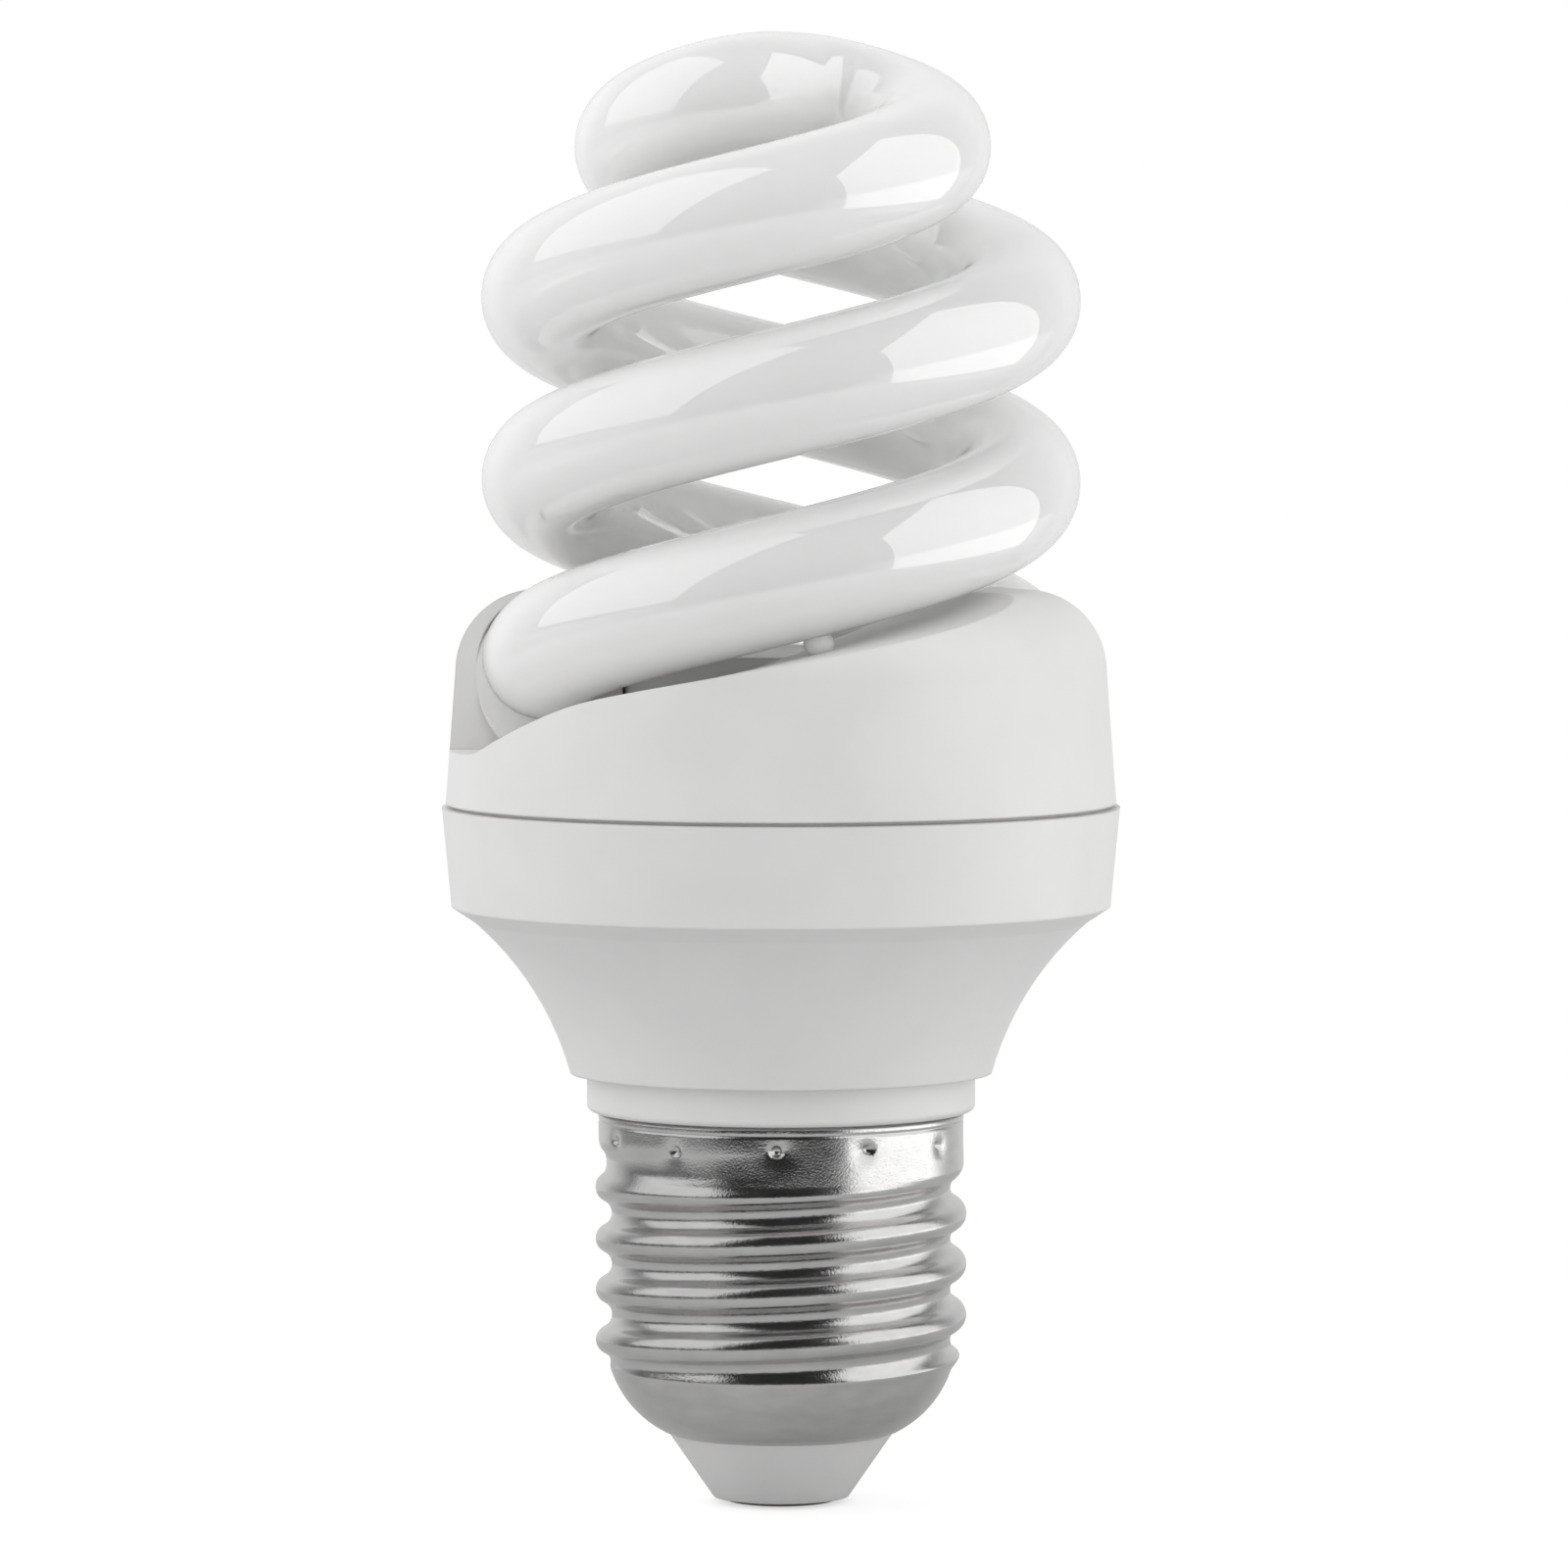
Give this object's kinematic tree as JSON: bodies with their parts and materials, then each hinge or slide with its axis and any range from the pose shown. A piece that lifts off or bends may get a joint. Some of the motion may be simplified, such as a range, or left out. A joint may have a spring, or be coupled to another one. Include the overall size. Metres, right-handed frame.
{
  "type": "spiral energy saving bulb",
  "caption": "Compact fluorescent lamp with a double spiral glass tube, a round moulded ballast housing and a screw cap.",
  "frame": {"origin": "bottom of the centre contact, on the lamp's axis", "axes": "+Z from the contact to the top of the glass along the lamp's axis, -Y towards the camera of the picture"},
  "size_m": [0.0482, 0.0482, 0.1044],
  "materials": {
    "coated_glass": "glossy glass over a white phosphor coat, opaque",
    "cover_plastic": "white moulded thermoplastic, satin",
    "base_plastic": "white moulded thermoplastic, satin",
    "cap_metal": "nickel plated sheet, bright",
    "insulator": "white moulded insulator",
    "contact_metal": "nickel plated brass",
    "silicone": "cured white silicone",
    "board_laminate": "phenolic paper laminate",
    "ferrite": "sintered ferrite",
    "enamelled_wire": "enamelled copper",
    "bobbin_plastic": "moulded bobbin",
    "can_aluminium": "drawn can",
    "bung_rubber": "rubber bung",
    "sleeve_plastic": "shrunk sleeve",
    "case_epoxy": "moulded epoxy",
    "film_epoxy": "dipped epoxy",
    "disc_epoxy": "dipped epoxy",
    "resistor_coating": "lacquer coat",
    "diac_glass": "small glass case",
    "wire_insulation": "insulated wire",
    "tinned_wire": "tinned"
  },
  "bodies": {
    "root": {"bulk_capacitor": "can_aluminium", "cap_insulator": "insulator", "capacitor_bung": "bung_rubber", "capacitor_leads": "tinned_wire", "capacitor_sleeve": "sleeve_plastic", "centre_contact": "contact_metal", "choke_bobbin": "bobbin_plastic", "choke_core": "ferrite", "choke_pins": "tinned_wire", "choke_winding": "enamelled_wire", "circuit_board": "board_laminate", "diac": "diac_glass", "diac_leads": "tinned_wire", "diode_leads": "tinned_wire", "diodes": "case_epoxy", "electrode_leads": "tinned_wire", "film_capacitors": "film_epoxy", "film_leads": "tinned_wire", "filter_core": "ferrite", "filter_leads": "tinned_wire", "filter_winding": "enamelled_wire", "fuse_leads": "tinned_wire", "fuse_resistor": "resistor_coating", "fuse_sleeve": "sleeve_plastic", "glue_dab": "silicone", "left_socket_seal": "silicone", "live_wire": "wire_insulation", "lower_housing": "base_plastic", "neutral_wire": "wire_insulation", "resistor_leads": "tinned_wire", "resistors": "resistor_coating", "right_socket_seal": "silicone", "ring_core": "ferrite", "ring_leads": "enamelled_wire", "ring_windings": "enamelled_wire", "screw_cap": "cap_metal", "spiral_tube": "coated_glass", "thermistor": "disc_epoxy", "thermistor_leads": "tinned_wire", "transistor_legs": "tinned_wire", "transistors": "case_epoxy", "upper_housing": "cover_plastic", "wrap_pins": "tinned_wire"}
  },
  "joints": []
}
